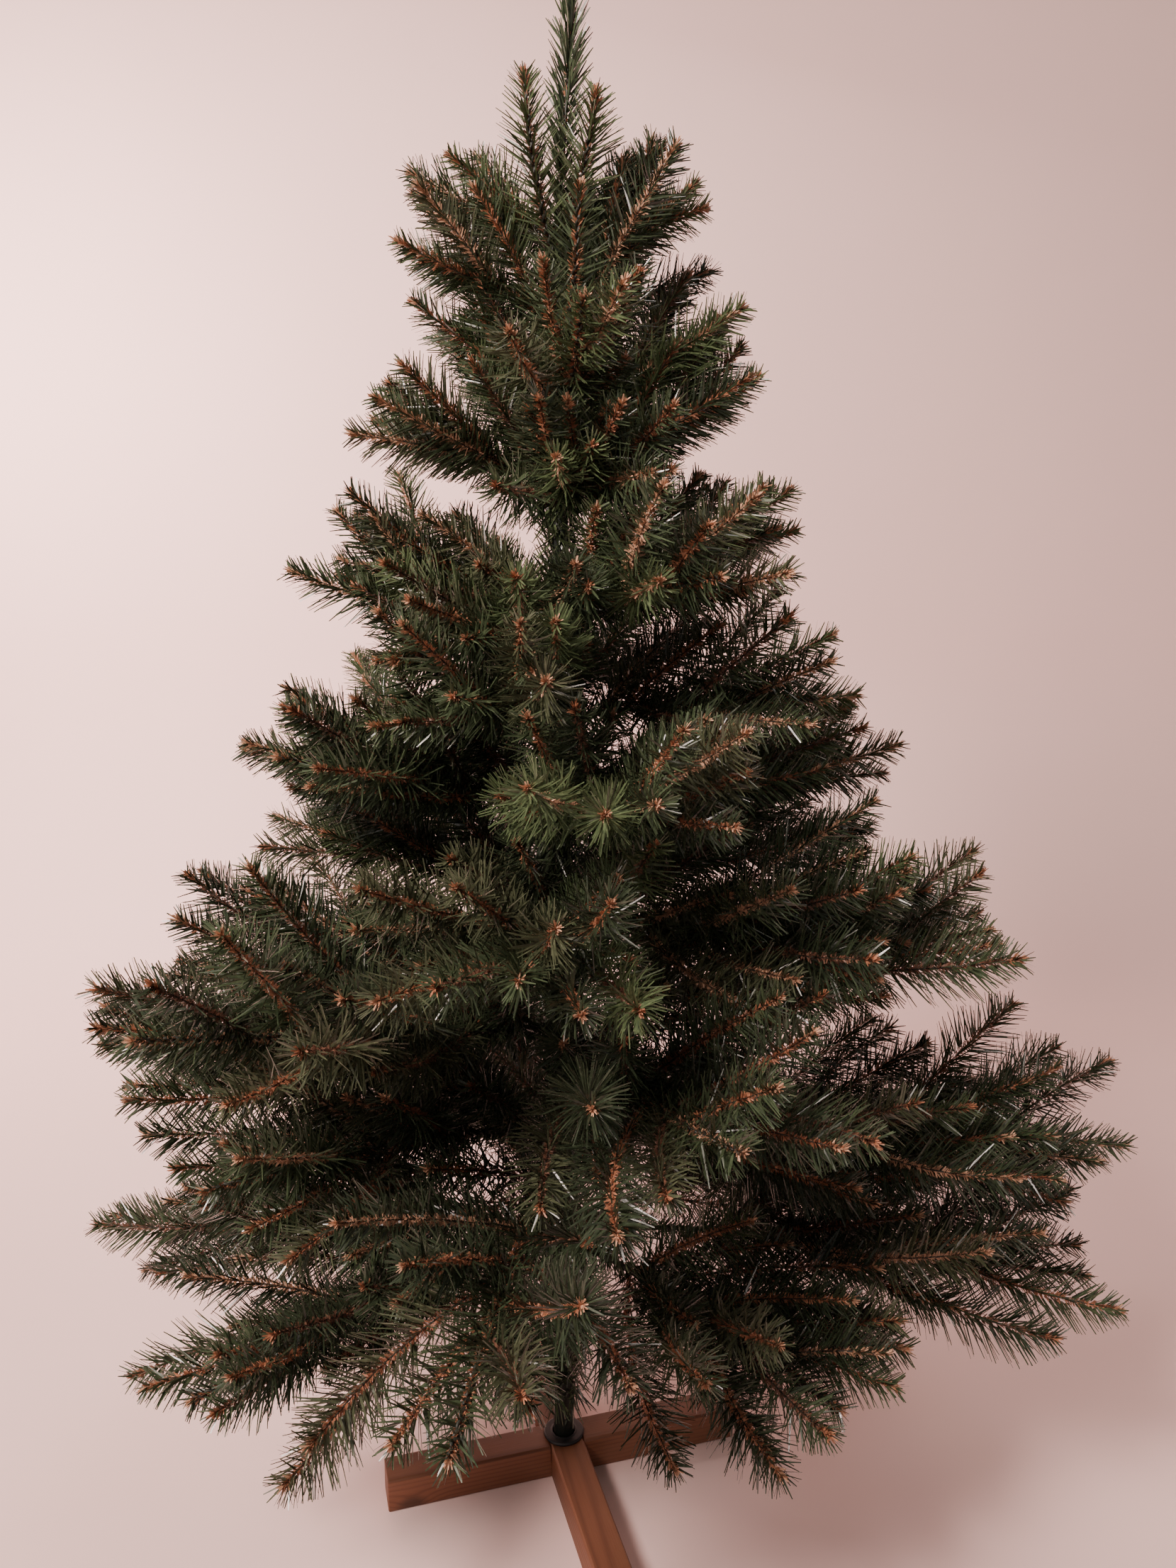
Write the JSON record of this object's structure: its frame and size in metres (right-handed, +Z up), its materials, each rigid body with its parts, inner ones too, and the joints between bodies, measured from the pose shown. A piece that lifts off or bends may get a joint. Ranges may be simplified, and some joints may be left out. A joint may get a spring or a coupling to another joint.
{
  "type": "artificial christmas tree",
  "caption": "Undecorated artificial Christmas tree: whorls of needled boughs, widest low down, round a slim stepped pole that stands in a collar on a halved wooden cross.",
  "frame": {"origin": "on the ground under the pole, at the middle of the long timber's flat underside", "axes": "+Z up along the pole, +X to the right and -Y to the front as the tree is usually seen"},
  "size_m": [1.0802, 0.9311, 1.4995],
  "materials": {
    "needle_foil": "matt cut foil, green with brown at the core and ends of each tip",
    "bough_wire": "dark green foil wound on wire",
    "pole_paint": "dark green satin paint",
    "stained_wood": "reddish brown stain, satin, grain showing",
    "collar_plastic": "black moulded plastic"
  },
  "bodies": {
    "root": {"collar": "collar_plastic", "cross_beam": "stained_wood", "crown_foliage_1": "needle_foil", "crown_foliage_2": "needle_foil", "crown_foliage_3": "needle_foil", "crown_foliage_4": "needle_foil", "leader": "needle_foil", "long_beam": "stained_wood", "low_bough_1": "bough_wire", "low_bough_2": "bough_wire", "low_bough_3": "bough_wire", "low_bough_4": "bough_wire", "low_bough_5": "bough_wire", "low_bough_6": "bough_wire", "pole": "pole_paint", "whorl_10_foliage_1": "needle_foil", "whorl_10_foliage_2": "needle_foil", "whorl_10_foliage_3": "needle_foil", "whorl_10_foliage_4": "needle_foil", "whorl_10_foliage_5": "needle_foil", "whorl_10_foliage_6": "needle_foil", "whorl_1_foliage_1": "needle_foil", "whorl_1_foliage_2": "needle_foil", "whorl_1_foliage_3": "needle_foil", "whorl_1_foliage_4": "needle_foil", "whorl_2_foliage_1": "needle_foil", "whorl_2_foliage_2": "needle_foil", "whorl_2_foliage_3": "needle_foil", "whorl_2_foliage_4": "needle_foil", "whorl_3_foliage_1": "needle_foil", "whorl_3_foliage_2": "needle_foil", "whorl_3_foliage_3": "needle_foil", "whorl_3_foliage_4": "needle_foil", "whorl_4_foliage_1": "needle_foil", "whorl_4_foliage_2": "needle_foil", "whorl_4_foliage_3": "needle_foil", "whorl_4_foliage_4": "needle_foil", "whorl_5_foliage_1": "needle_foil", "whorl_5_foliage_2": "needle_foil", "whorl_5_foliage_3": "needle_foil", "whorl_5_foliage_4": "needle_foil", "whorl_6_foliage_1": "needle_foil", "whorl_6_foliage_2": "needle_foil", "whorl_6_foliage_3": "needle_foil", "whorl_6_foliage_4": "needle_foil", "whorl_7_foliage_1": "needle_foil", "whorl_7_foliage_2": "needle_foil", "whorl_7_foliage_3": "needle_foil", "whorl_7_foliage_4": "needle_foil", "whorl_8_foliage_1": "needle_foil", "whorl_8_foliage_2": "needle_foil", "whorl_8_foliage_3": "needle_foil", "whorl_8_foliage_4": "needle_foil", "whorl_8_foliage_5": "needle_foil", "whorl_9_foliage_1": "needle_foil", "whorl_9_foliage_2": "needle_foil", "whorl_9_foliage_3": "needle_foil", "whorl_9_foliage_4": "needle_foil", "whorl_9_foliage_5": "needle_foil", "whorl_9_foliage_6": "needle_foil"}
  },
  "joints": []
}
